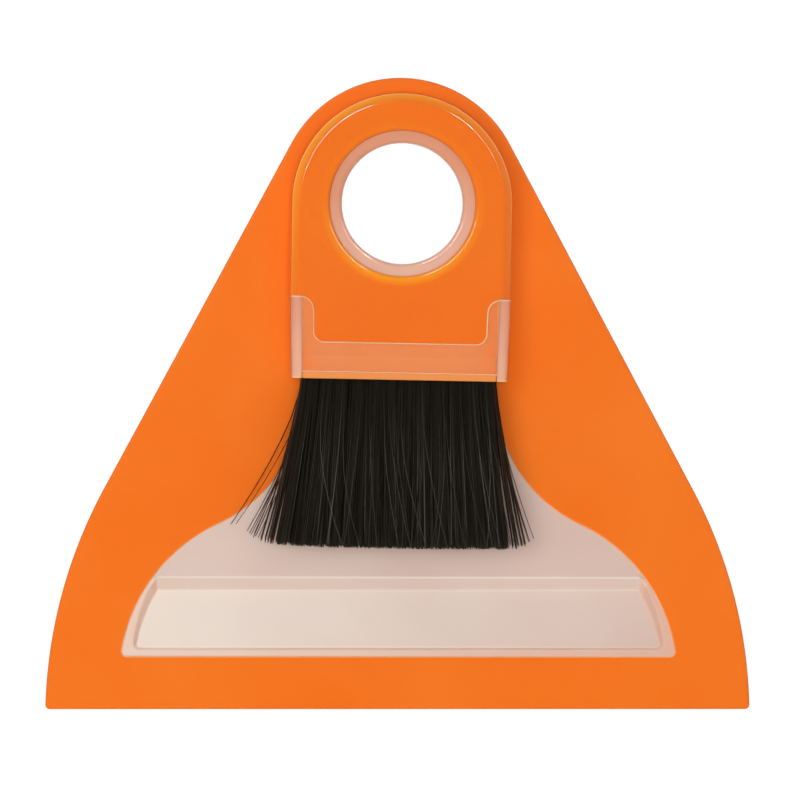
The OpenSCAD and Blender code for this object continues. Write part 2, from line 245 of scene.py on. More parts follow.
def pan_outline(inset=0.0, front=0.0):
    """The pan seen square to its plate: straight front, bowed flanks, straight sides, arch."""
    corner = LIP_CORNER - inset / 2
    return mirrored(np.vstack([
        front_and_flank(front, corner, FLANK, FLANK_R - inset, SIDE_ANGLE, 64),
        arc(ARCH, ARCH_R - inset, SIDE_ANGLE, 90, 40)]))


def window_outline(start=None):
    """The window: straight front, round shoulders, hollow curves and a neck. With start,
    only its part above that place up the plate, closed by a straight edge."""
    if start is None:
        low = front_and_flank(WINDOW_V, FRONT_CORNER, SHOULDER, SHOULDER_R, TURN_ANGLE)
    else:
        angle = math.degrees(math.asin((start - SHOULDER[1]) / SHOULDER_R))
        low = arc(SHOULDER, SHOULDER_R, angle, TURN_ANGLE, 16)
    hollow = arc(HOLLOW, -HOLLOW_R, TURN_ANGLE + 180, 180, 32)
    neck = arc((NECK_HALF - NECK_CORNER, NECK_TOP - NECK_CORNER), NECK_CORNER, 0, 90, 12)
    return mirrored(np.vstack([low, hollow[1:], neck]))


def recess_outline(front, back, centre_v, radius):
    """The dust recess between two straight edges, the flanks round."""
    centre = (SHOULDER[0], centre_v)
    end = math.degrees(math.asin((back - centre_v) / radius))
    half = front_and_flank(front, FRONT_CORNER, centre, radius, end, 28)
    # The rear corners grow along both the flank's normal and the rear edge's, and a point
    # beside each keeps the rear edge straight in shading
    half[-1, 2:] = (half[-1, 2:] + [0, 1]) / (1 + half[-1, 3])
    # The points along the straight edges carry the tones, which change from left to right
    along = np.array([[x, front, 0, -1] for x in (0, 20, 40, 60)])
    back_edge = np.array([[x, back, 0, 1] for x in (half[-1, 0] - 0.8, 60, 40, 20, 0)])
    return mirrored(np.vstack([along, half, back_edge]))


def circle(radius, count, centre=(0.0, 0.0)):
    """A full circle as an outline."""
    return arc(centre, radius, 0, 360, count + 1)[:-1]


def box_outline(half, low, high, corner, count=6):
    """A rectangle with rounded corners, from -half to half and from low to high."""
    x = half - corner
    return mirrored(np.vstack([arc((x, low + corner), corner, -90, 0, count),
                               arc((x, high - corner), corner, 0, 90, count)]))


# -------------------- building meshes

# Length of the short leads before and after a rounding
LEAD = 0.05


def rounded(corners, steps=6, lead=LEAD):
    """A profile through corners (a, b, radius): straight stretches joined by arcs of that
    radius. The lead before and after each arc keeps flat faces flat in shading."""
    points = [np.array(corners[0][:2], float)]
    for before, (a, b, radius), after in zip(corners, corners[1:], corners[2:]):
        here = np.array([a, b], float)
        u = here - before[:2]
        v = np.array(after[:2], float) - here
        u, v = u / np.linalg.norm(u), v / np.linalg.norm(v)
        turn = math.atan2(u[0] * v[1] - u[1] * v[0], u @ v)
        if radius == 0:
            points.append(here)
            continue
        reach = radius * math.tan(abs(turn) / 2)
        side = math.copysign(1, turn) * np.array([-u[1], u[0]])
        centre = here - u * reach + side * radius
        t = np.linspace(0, turn, steps + 1)[:, None]
        across = -side * np.cos(t) + np.sign(turn) * u * np.sin(t)
        points.append(here - u * (reach + lead))
        points.extend(centre + radius * across)
        points.append(here + v * (reach + lead))
    points.append(np.array(corners[-1][:2], float))
    return np.array(points)


class Skin:
    """Gathers the points and faces of one closed piece. Every profile is walked with the
    solid on its right, so that the faces look outwards."""

    def __init__(self):
        self.points = []
        self.faces = []
        self.count = 0

    def rings(self, grid):
        """Adds rows of points, each row one closed ring, and returns their numbers."""
        grid = np.asarray(grid, float)
        numbers = self.count + np.arange(grid.shape[0] * grid.shape[1]).reshape(grid.shape[:2])
        self.points.append(grid.reshape(-1, 3))
        self.count += numbers.size
        return numbers

    def band(self, rows, flip=False):
        """Four-sided faces between each row and the next."""
        rows = np.asarray(rows)
        a, b = rows[:-1], rows[1:]
        quads = np.stack([a, b, np.roll(b, -1, 1), np.roll(a, -1, 1)], -1).reshape(-1, 4)
        self.faces.extend((quads[:, ::-1] if flip else quads).tolist())

    def tube(self, grid, flip=False):
        """Rings with a band along them."""
        rows = self.rings(grid)
        self.band(rows, flip)
        return rows

    def wrap(self, grid, flip=False):
        """A tube bent into a ring, whose last row joins its first."""
        rows = self.rings(grid)
        self.band(np.vstack([rows, rows[:1]]), flip)

    def cap(self, outer, holes=(), up=True):
        """A flat face inside one ring and outside others, in triangles that look up or
        down along the third coordinate."""
        points = np.vstack(self.points)
        loops = [outer, *holes]
        flat = [[(*points[i][:2], 0.0) for i in loop] for loop in loops]
        numbers = np.concatenate([np.asarray(loop) for loop in loops])
        tris = numbers[np.array(tessellate_polygon(flat))]
        a, b, c = (points[tris[:, k], :2] for k in range(3))
        ab, ac = b - a, c - a
        wrong = (ab[:, 0] * ac[:, 1] - ab[:, 1] * ac[:, 0] > 0) != up
        tris[wrong] = tris[wrong][:, ::-1]
        self.faces.extend(tris.tolist())

    def piece(self, name, place, body, slot, finish, replaces=()):
        """Makes the mesh object, puts it in place, hides the parts it replaces and lets it ride
        on its body.
        """
        points = place(np.vstack(self.points))
        return finished(name, points, self.faces, body, finish, replaces)


def in_scene(name, data):
    """A new object of the scene, made of this data."""
    thing = bpy.data.objects.new(name, data)
    bpy.context.scene.collection.objects.link(thing)
    return thing


def mesh_of(name, points, faces):
    """A mesh of these points and faces."""
    mesh = bpy.data.meshes.new(name)
    mesh.from_pydata(points, [], faces)
    return mesh


def finished(name, points, faces, body, finish, replaces=(), sharp=35):
    """Makes a mesh, turns its faces outwards, shades it, gives it its finish, and lets
    its object ride on a body."""
    mesh = mesh_of(name, points, faces)
    solid = bmesh.new()
    solid.from_mesh(mesh)
    bmesh.ops.recalc_face_normals(solid, faces=solid.faces[:])
    solid.to_mesh(mesh)
    solid.free()
    mesh.shade_smooth()
    mesh.set_sharp_from_angle(angle=math.radians(sharp))
    mesh.materials.append(finish)
    piece = in_scene(name, mesh)
    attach(piece, body)
    if replaces:
        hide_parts(*replaces)
    return piece


def painted(piece, name, values):
    """Gives every point of a piece a value that its finish reads by this name."""
    layer = piece.data.attributes.new(name, "FLOAT", "POINT")
    layer.data.foreach_set("value", np.asarray(values, np.float32).ravel())


def carried(outline, profile):
    """Rows of points from a profile of (growth, level) carried round an outline."""
    return np.stack([np.column_stack([grown(outline, g), np.full(len(outline), w)])
                     for g, w in profile])


def standing(outline, profile):
    """The same from a profile of (growth, height), where the height is above the table."""
    rows = []
    for g, height in profile:
        p = grown(outline, g)
        rows.append(np.column_stack([p, table_w(p[:, 1], height)]))
    return np.stack(rows)


def turned(profile, count=160):
    """Rows of points from a profile of (radius, level) turned about the ring's axis."""
    return carried(circle(1.0, count), [(r - 1, w) for r, w in profile])


# -------------------- finishes


def linear(code):
    """An sRGB hex colour as linear light: a low value is divided by 12.92, and to any
    other 0.055 is added, the sum divided by 1.055 and raised to the power 2.4."""
    parts = [int(code[i:i + 2], 16) / 255 for i in (0, 2, 4)]
    return [p / 12.92 if p <= 0.04045 else ((p + 0.055) / 1.055) ** 2.4 for p in parts] + [1.0]


def add(tree, kind, inputs=None, **settings):
    """Adds a node with its settings; an input is a value, or another node's output."""
    node = tree.nodes.new(kind)
    for key, value in settings.items():
        setattr(node, key, value)
    for key, value in (inputs or {}).items():
        if isinstance(value, bpy.types.NodeSocket):
            tree.links.new(value, node.inputs[key])
        else:
            node.inputs[key].default_value = value
    return node


def new_finish(name):
    """An empty material with its node tree."""
    material = bpy.data.materials.new(name)
    material.use_nodes = True
    material.node_tree.nodes.clear()
    return material, material.node_tree


def noise(tree, scale, detail=2.0, distortion=0.0):
    """A value from 0 to 1 that changes about scale times in a metre."""
    place = add(tree, "ShaderNodeTexCoord").outputs["Object"]
    return add(tree, "ShaderNodeTexNoise", {"Vector": place, "Scale": scale, "Detail": detail,
                                            "Distortion": distortion}).outputs["Fac"]


def attribute(tree, name):
    """The value that the mesh's points carry by this name."""
    return add(tree, "ShaderNodeAttribute", attribute_name=name).outputs["Fac"]


def ramp(tree, value, positions, colours):
    """A colour that follows a value, with these colours at these positions."""
    node = add(tree, "ShaderNodeValToRGB", {"Fac": value})
    elements = node.color_ramp.elements
    for position in positions[1:-1]:
        elements.new(position)
    for element, position, colour in zip(elements, positions, colours):
        element.position = position
        element.color = colour
    return node.outputs["Color"]


def blend(tree, share, colour, code):
    """A colour with a share of another one, a hex colour, in it."""
    return add(tree, "ShaderNodeMix", {"Factor": share, 6: colour, 7: linear(code)},
               data_type="RGBA").outputs[2]


def between(tree, value, low, high):
    """A value from 0 to 1 brought between low and high."""
    return add(tree, "ShaderNodeMapRange", {"Value": value, "To Min": low,
                                            "To Max": high}).outputs["Result"]


def clouded(tree, name, scale, share):
    """The attribute of this name, and up to this share more where the plastic is cloudy."""
    return add(tree, "ShaderNodeMath", {0: noise(tree, scale, 3.0), 1: share,
                                        2: attribute(tree, name)},
               operation="MULTIPLY_ADD").outputs[0]


def grain(tree, scale, detail, strength):
    """The grain that a mould leaves: bumps of 0.03 mm, about scale of them in a metre."""
    return add(tree, "ShaderNodeBump", {"Strength": strength, "Distance": 0.00003,
                                        "Height": noise(tree, scale, detail)}).outputs["Normal"]


def surfaced(material, values):
    """Closes a material with one shader of these values."""
    shader = add(material.node_tree, "ShaderNodeBsdfPrincipled", values)
    add(material.node_tree, "ShaderNodeOutputMaterial", {"Surface": shader.outputs["BSDF"]})
    return material


# Refractive index of polypropylene
PP_IOR = 1.49


def moulded_orange(name, base, light, rim, roughness, coat):
    """Polypropylene, injection moulded from a polished tool: saturated orange, with faint
    flow marks about 45 mm long, and a satin grain of 0.6 mm, drawn a little coarse. The
    mesh attribute that the base colour reads mixes in the rim colour, from 0 to 1: painted
    light along edges and roundings that catch the lamps."""
    material, tree = new_finish(name)
    flow = noise(tree, 22.0, 2.0, 0.6)
    tone = ramp(tree, flow, (0.3, 0.7), (linear(base), linear(light)))
    return surfaced(material, {
        "Base Color": blend(tree, attribute(tree, "painted_light"), tone, rim),
        "Roughness": between(tree, flow, roughness - 0.03, roughness + 0.05),
        "IOR": PP_IOR, "Specular IOR Level": 0.1, "Coat Weight": coat,
        "Coat Roughness": 0.04, "Normal": grain(tree, 1600.0, 3.0, 0.10)})


def moulded_frost(name, tones, warm_tone, roughness, depth, coat=0.0):
    """Unpigmented polypropylene, moulded on a blasted tool: milky, light spreads a few
    millimetres inside it and warms, and it has cloudy flow marks about 30 mm wide. The
    mesh attribute hollow goes through the tones as painted light and shade: from a painted
    highlight where an edge gathers light, over painted light where it lies on the white
    table, to painted shade where it stands over an open space. The attribute warm is the
    share of light that comes from the orange plate beside it, painted in."""
    material, tree = new_finish(name)
    dull = clouded(tree, "hollow", 33.0, 0.3)
    tone = ramp(tree, dull, (0, 0.15, 0.65, 1), [linear(code) for code in tones])
    return surfaced(material, {
        "Base Color": blend(tree, attribute(tree, "warm"), tone, warm_tone),
        "Roughness": roughness, "IOR": PP_IOR, "Specular IOR Level": 0.2,
        "Coat Weight": coat, "Coat Roughness": 0.04, "Subsurface Weight": depth,
        "Subsurface Radius": (1.0, 0.7, 0.55), "Subsurface Scale": 0.004,
        "Normal": grain(tree, 2200.0, 2.0, 0.15)})


def clear_frost(name, tones):
    """The same polypropylene with a wall of about 1 mm: a milky veil over what lies behind
    it, with clouds 17 mm wide. The mesh attribute that it reads, from 0 to 1, closes the
    veil at the thicker side walls, and along the rims it gives a painted highlight, where
    light gathers."""
    material, tree = new_finish(name)
    body = clouded(tree, "veil_and_painted_highlight", 60.0, 0.12)
    return surfaced(material, {
        "Base Color": ramp(tree, body, (0, 0.6, 0.8, 1), [linear(code) for code in tones]),
        "Roughness": 0.3, "IOR": PP_IOR, "Specular IOR Level": 0.3,
        "Alpha": between(tree, body, 0.08, 0.86), "Normal": grain(tree, 2200.0, 2.0, 0.15)})


def drawn_filament(name):
    """Nylon filament, drawn and dyed black: satin, near black, some strands greyer and a few
    painted light grey as highlights. The mesh attribute tone runs from 0, darkest, to 1."""
    material, tree = new_finish(name)
    tones = [linear(code) for code in ("221E16", "2F2A20", "4C473D", "706B5E", "9A9488")]
    return surfaced(material, {
        "Base Color": ramp(tree, attribute(tree, "tone"), (0, 0.3, 0.6, 0.85, 1), tones),
        "Roughness": between(tree, noise(tree, 900.0), 0.42, 0.6), "IOR": 1.53,
        "Specular IOR Level": 0.25})


def cut_strip(name):
    """Galvanised steel strip, cut to short staples: dull grey, with rolling lines 0.2 mm
    apart."""
    material, tree = new_finish(name)
    place = add(tree, "ShaderNodeTexCoord").outputs["Object"]
    lines = add(tree, "ShaderNodeTexWave", {"Vector": place, "Scale": 1500.0,
                                            "Distortion": 2.0}).outputs["Fac"]
    return surfaced(material, {"Base Color": linear("B8BABC"), "Metallic": 1.0,
                               "Roughness": between(tree, lines, 0.3, 0.5)})


# The last colour of each is the painted light mixed in along edges, roundings and the block's
# outside
SHELL_ORANGE = moulded_orange("orange_polypropylene_moulded_satin", "F67216", "F87A20",
                              "FFB070", 0.45, 0.0)
HANDLE_ORANGE = moulded_orange("orange_polypropylene_moulded_gloss", "F66E0A", "F87410",
                               "FF9E10", 0.34, 1.0)
BLOCK_ORANGE = moulded_orange("orange_polypropylene_moulded_dull", "F77318", "F97A1C",
                              "F1934E", 0.45, 0.3)
# The tray's tones, first to last: a painted highlight on edges, painted light where it lies on
# the table, painted shade over open space, and deeper painted shade
TRAY_FROST = moulded_frost("frosted_polypropylene_tray",
                           ("F8EADF", "EBDDD0", "DEC6B9", "D2B2A5"), "F2B08C", 0.45, 0.0)
# The sleeve's tones: thin veil, side wall, the painted highlight down the side wall, and the
# painted highlight of the rims
FERRULE_FROST = clear_frost("frosted_polypropylene_sleeve",
                            ("F9D598", "F49E74", "FABA9D", "FFD29C"))
# The ring's tones are painted shade, darkest last
RING_FROST = moulded_frost("frosted_polypropylene_ring",
                           ("F3C8B6", "EFC0AC", "EAAE94", "E49C7A"), "F2A678", 0.3, 0.3,
                           coat=1.0)
FILAMENT = drawn_filament("black_nylon_filament_drawn")
STRIP = cut_strip("galvanised_steel_strip_cut")


# -------------------- pan


def make_pan_shell():
    """Plate, skirt and window. The outer profile runs over a rounded rim and down the
    skirt to a flat foot; the space under the plate is a second outline inside it."""
    skin = Skin()
    outer = pan_outline()
    rim = rounded([(-2, 0), (0, 0, 0.8), (0, -1.0)], 7)[1:-1]
    foot = rounded([(0, 2), (0, 0, 0.15), (-2, 0)], 3, 0.03)[1:-1]
    wall = skin.tube(np.vstack([carried(outer, rim), standing(outer, foot)]))

    inner = pan_outline(inset=WALL, front=SPACE_V)
    space = skin.tube(np.vstack([standing(inner, [(0, 0)]), carried(inner, [(0, -WALL)])]))

    edge = rounded([(0, -WALL), (0, 0, 0.3), (1, 0)], 4, 0.04)[:-1]
    window = skin.tube(carried(window_outline(), edge))
    hole_edge = rounded([(0, -WALL), (0, 0, 0.2), (1, 0)], 3, 0.04)[:-1]
    hole = skin.tube(carried(circle(COLLAR_R + FIT / 2, 128, (0, RING_V)), hole_edge))

    skin.cap(wall[0], [window[-1], hole[-1]])
    skin.cap(wall[-1], [space[0]], up=False)
    skin.cap(space[-1], [window[0], hole[0]], up=False)
    shell = skin.piece("pan_shell_moulding", from_plate, "pan", "orange_shell", SHELL_ORANGE,
                       ["pan_shell"])
    # Painted highlight: the window's edge is drawn lighter
    painted(shell, "painted_light", 0.8 * np.isin(np.arange(skin.count), window[1:-2]))


def make_tray_stakes():
    """Six stakes melted over the tray's rim from below: each a short post under a low
    dome, a profile of (radius, level) turned about its axis."""
    post, head, rise = 0.9, 1.7, 0.45
    dome = [(head * math.cos(a), RIM_W - 0.12 - rise * math.sin(a))
            for a in np.radians(np.linspace(0, 84, 8))]
    profile = [(0.02, -WALL + 0.3), (post, -WALL + 0.3), (post, RIM_W), (head, RIM_W), *dome]
    around = SHOULDER_R + STAKE_OUT
    spots = [(SHOULDER[0] + around * math.cos(a), SHOULDER[1] + around * math.sin(a))
             for a in np.radians(STAKE_ANGLES)]
    spots.append((NECK_HALF + STAKE_OUT, STAKE_V))
    skin = Skin()
    for x, v in spots:
        for side in (-1, 1):
            rows = skin.tube(turned(profile, 32) + [side * x, v, 0])
            skin.faces += [rows[0].tolist(), rows[-1, ::-1].tolist()]
    skin.piece("tray_stakes", from_plate, "pan", "orange_shell", SHELL_ORANGE)


def bezier(p0, p1, p2, steps=5):
    """Rows of points on a quadratic curve from p0 to p2, drawn towards p1."""
    t = np.linspace(0, 1, steps + 1)[:, None, None]
    return (1 - t) ** 2 * p0 + 2 * t * (1 - t) * p1 + t ** 2 * p2


def make_dust_tray():
    """The frosted insert. Its face fills the window, its recess goes down by sloping
    walls to a level floor on the table, and its rim lies under the plate."""
    skin = Skin()
    window, mouth, floor = window_outline(), recess_outline(*MOUTH), recess_outline(*FLOOR)

    def on_face(g):
        return carried(mouth, [(g, -TRAY_DROP)])[0]

    def on_floor(g):
        return standing(floor, [(g, FLOOR_T)])[0]

    def under_face(outline, g):
        """At the level of the rim's underside, but never below the table."""
        p = grown(outline, g)
        return np.column_stack([p, np.maximum(RIM_W, table_w(p[:, 1]))])

    # Face edge, then out under the plate to the rim's edge and its underside
    edge = rounded([(-0.45, -TRAY_DROP), (-0.02, -TRAY_DROP, 0.05), (-0.02, -WALL)], 4, 0.15)
    upper = carried(window, [*edge, (RIM, -WALL)])
    outside = skin.tube(np.concatenate([upper, under_face(window, RIM)[None]]))

    # The recess: mouth in the face, floor at its own level, lip and toe between them
    top, foot = on_face(0), on_floor(0)
    slope = (foot - top) / np.linalg.norm(foot - top, axis=1)[:, None]
    lip = bezier(on_face(LIP_ROUND), top, top + slope * LIP_ROUND)
    toe = bezier(foot - slope * TOE_ROUND, foot, on_floor(-TOE_ROUND))
    recess = skin.tube(np.concatenate([on_face(LIP_ROUND + LEAD)[None], lip, toe,
                                       on_floor(-TOE_ROUND - LEAD)[None]]))
    skin.cap(outside[0], [recess[0]])
    skin.cap(recess[-1])

    # Underneath: the recess's outer walls, and a pocket under the face above it
    hull = skin.tube([under_face(mouth, MOUTH_WALL), standing(floor, [(FOOT_WALL, 0)])[0]],
                     flip=True)
    hollow_edge = window_outline(start=POCKET_V)
    ceiling = carried(hollow_edge, [(-POCKET_INSET, -TRAY_DROP - TRAY_T)])[0]
    pocket = skin.tube([under_face(hollow_edge, -POCKET_INSET), ceiling])
    skin.cap(outside[-1], [hull[0], pocket[0]], up=False)
    skin.cap(hull[-1], up=False)
    skin.cap(pocket[-1], up=False)
    tray = skin.piece("dust_tray_moulding", from_plate, "pan", "frosted", TRAY_FROST,
                      ["dust_tray"])

    # Painted light and shade. Tones run a little darker to the right, as painted shade away
    # from the light at the left: q is the place across, in lengths of 62 mm. Under the plate's
    # edge and on the recess's walls the tray takes up light from the plate
    q = np.vstack(skin.points)[:, 0] / 62
    on_table = 0.11 + 0.25 * q + 0.14 * q ** 2
    hollow = 0.6 + 0.08 * q
    warm = np.zeros(skin.count)

    def beside_recess(outline, front):
        """1 along the recess's sides, and a share of that along its front."""
        near = np.maximum(np.abs(outline[:, 2]), front * np.maximum(-outline[:, 3], 0))
        return near * (outline[:, 1] < WINDOW_V + 23) * (outline[:, 3] < 0.95)

    face = outside[0]
    rim = beside_recess(window, 0.3)
    warm[face] = 0.03 + rim * (0.35 + 0.1 * q[face])
    warm[outside[1:-1]] = 0.5
    # The face beside the recess's sides is drawn as light as where the tray lies on the table,
    # and the edge under the plate gets a painted highlight
    hollow[face] = np.where(rim > 0.3, on_table[face] + 0.1, hollow[face])
    hollow[outside[2:-1]] = -0.1

    above, upper_wall, lower_wall, base = recess[:2], recess[2:5], recess[5:], recess[-2:]
    wall = beside_recess(mouth, 0.45)
    rear = (mouth[:, 3] > 0.3) & (mouth[:, 1] > WINDOW_V + 20)
    sideways = np.abs(q[lower_wall])
    warm[recess] = wall * 0.44
    # Painted light and shade about the recess: beside its sides the face is drawn lighter, the
    # rear wall is drawn light at its top edge and darker lower down towards the middle, and the
    # front wall lighter
    hollow[above] = np.where(wall > 0.3, on_table[above] + 0.08, hollow[above])
    hollow[upper_wall] = np.where(rear, 0.05, hollow[upper_wall])
    hollow[lower_wall] = np.where(rear, 0.34 - 0.16 * sideways, on_table[lower_wall])
    hollow[lower_wall] -= 0.35 * np.maximum(-mouth[:, 3], 0)
    warm[lower_wall] += rear * (0.06 + 0.1 * sideways)
    warm[recess[-4:-2]] = wall * 0.5
    warm[base] = 0
    hollow[base] = on_table[base]
    hollow[hull[-1]] = on_table[hull[-1]]
    painted(tray, "hollow", hollow)
    painted(tray, "warm", warm)


def make_ring_collar():
    """The bush that carries the brush: a turned profile with a flange under the plate."""
    inner = COLLAR_R - COLLAR_T
    flange = COLLAR_R + RIM
    profile = rounded([
        (inner, 0), (inner, RIM_W, 0.3), (flange, RIM_W, 0.3),
        (flange, -WALL, 0), (COLLAR_R, -WALL, 0), (COLLAR_R, COLLAR_H, 0.4),
        (inner, COLLAR_H, 0.3), (inner, 0)], 4)[:-1]
    skin = Skin()
    skin.wrap(turned(profile), flip=True)
    skin.piece("ring_collar_moulding", lambda p: from_plate(p + [0, RING_V, 0]), "pan",
               "frosted", RING_FROST, ["ring_collar"])


# -------------------- brush


def make_finger_ring():
    """The frosted ring in the handle: a turned profile with a face flange that carries
    the finger hole, a barrel over the collar, and a rib between the handle's halves."""
    barrel = COLLAR_R + 0.08
    shelf = COLLAR_H + 0.3
    rib_r, rib_low, rib_high = RING_R + RIB_OUT, MID_W - RIB_HALF, MID_W + RIB_HALF
    profile = rounded([
        (barrel, 3), (barrel, BACK_W, 0.3), (RING_R, BACK_W, 0.2), (RING_R, rib_low, 0),
        (rib_r, rib_low, 0.2), (rib_r, rib_high, 0.2), (RING_R, rib_high, 0),
        (RING_R, RING_FACE_W, 0.06), (FINGER_R, RING_FACE_W, RING_ROUND),
        (FINGER_R, shelf, 0.3), (barrel, shelf, 0), (barrel, 3)], 6)[:-1]
    skin = Skin()
    skin.wrap(turned(profile), flip=True)
    ring = skin.piece("finger_ring_moulding", from_brush, "ring", "frosted", RING_FROST,
                      ["finger_ring"])
    # Painted shade: it is drawn darker towards the arch and to the left
    x, v, _ = np.vstack(skin.points).T / RING_R
    painted(ring, "hollow", np.clip(0.65 + 0.5 * v - 0.1 * x, 0, 0.95))


def ear_line(gap):
    """Rows along the ferrule's upper edge from its right side to the middle, as an outline
    whose normals point up, away from the ferrule, moved by a gap that way."""
    ear = arc((CUT_HALF + EAR_R, -EAR_TOP - EAR_R), EAR_R, 90, 180, 10)
    cut = arc((CUT_HALF - CUT_R, -CUT_OUT + CUT_R), -CUT_R, 0, -90, 9)
    right = np.vstack([ear, cut])
    right[:, :2] += right[:, 2:] * gap
    return right


def handle_rows():
    """Rows of one half of the handle from its face down to the seam. Round the arch the
    profile is a sloping band with rounded ends; along the tongue it is a small rounding."""
    arch = mirrored(np.vstack([
        [[HANDLE_HALF, -EAR_TOP + FIT, 1, 0]],
        arc((0, 0), HANDLE_HALF, 0, 90, 48)]))
    tongue_right = ear_line(0.03)
    tongue_right[:, 2:] *= -1
    tongue_left = tongue_right[::-1] * [-1, 1, -1, 1]
    # Against the clock: up the right side, over the arch, down to the left ear, and back
    # along the tongue's left side, bottom and right side
    tongue = np.vstack([tongue_left[::-1], tongue_right[::-1]])
    band = rounded([(-4, 0), (-BEVEL, 0, 1.4), (0, -BEVEL_DROP, 1.0), (0, -4)], 6, 0.04)[1:-1]
    small = rounded([(-1, 0), (0, 0, 0.15), (0, -1)], len(band) - 3, 0.04)[1:-1]
    foot = rounded([(0, 1), (0, 0, 0.12), (-1, 0)], 3, 0.03)[1:-1]
    foot = [(g, w - HANDLE_T / 2 + SEAM) for g, w in foot]
    return np.concatenate([np.hstack([carried(arch, band), carried(tongue, small)]),
                           carried(np.vstack([arch, tongue]), foot)])


def make_handle_half(name, node, side):
    """Half of the handle: its face and edge, the hole rounded down to the ring, and the
    core that goes into the ferrule. It is built as the front half, and side -1 turns it
    over to the back."""
    skin = Skin()
    rows = skin.tube(handle_rows())
    half = HANDLE_T / 2
    hole_r = RING_R + 0.01
    hole_edge = [(hole_r, SEAM - half), (hole_r, 0, HOLE_ROUND), (hole_r + 3, 0)]
    hole = skin.tube(turned(rounded(hole_edge, 8, 0.04)))
    skin.cap(rows[0], [hole[-1]])
    skin.cap(rows[-1], [hole[0]], up=False)

    core = box_outline(CORE_HALF, 0.02 - CORE_END, -EAR_TOP - 0.4, 0.6, 5)
    top = CORE_W - half
    box = skin.tube(carried(core, [(-0.02, top), (0, top - 0.02), (0, SEAM - half)]))
    skin.cap(box[0])
    skin.cap(box[-1], up=False)

    def place(p):
        p = tapered(p)
        return from_brush(np.column_stack([p[:, 0], p[:, 1], MID_W + side * (p[:, 2] + half)]))

    # Turned over, its faces would look inwards
    if side < 0:
        skin.faces = [face[::-1] for face in skin.faces]
    piece = skin.piece(name, place, "brush", "orange_handle", HANDLE_ORANGE, [node])

    # Painted light: the band is drawn lighter most over the arch, less on the left and least
    # on the right, as the lamps fall on it, and the hole's rounding is drawn lighter at its
    # foot, where it faces them
    x, v, w = np.vstack(skin.points).T
    over = np.clip(0.4 + 0.5 * v / HANDLE_HALF - 0.25 * x / HANDLE_HALF, 0, 1)
    painted_light = np.where(w > -BEVEL_DROP - 0.6, over * np.clip(-w / 0.9, 0, 1), 0)
    painted_light[hole[:-1]] = np.clip(0.15 - 0.65 * v[hole[:-1]] / RING_R, 0.1, 0.8)
    painted(piece, "painted_light", painted_light)


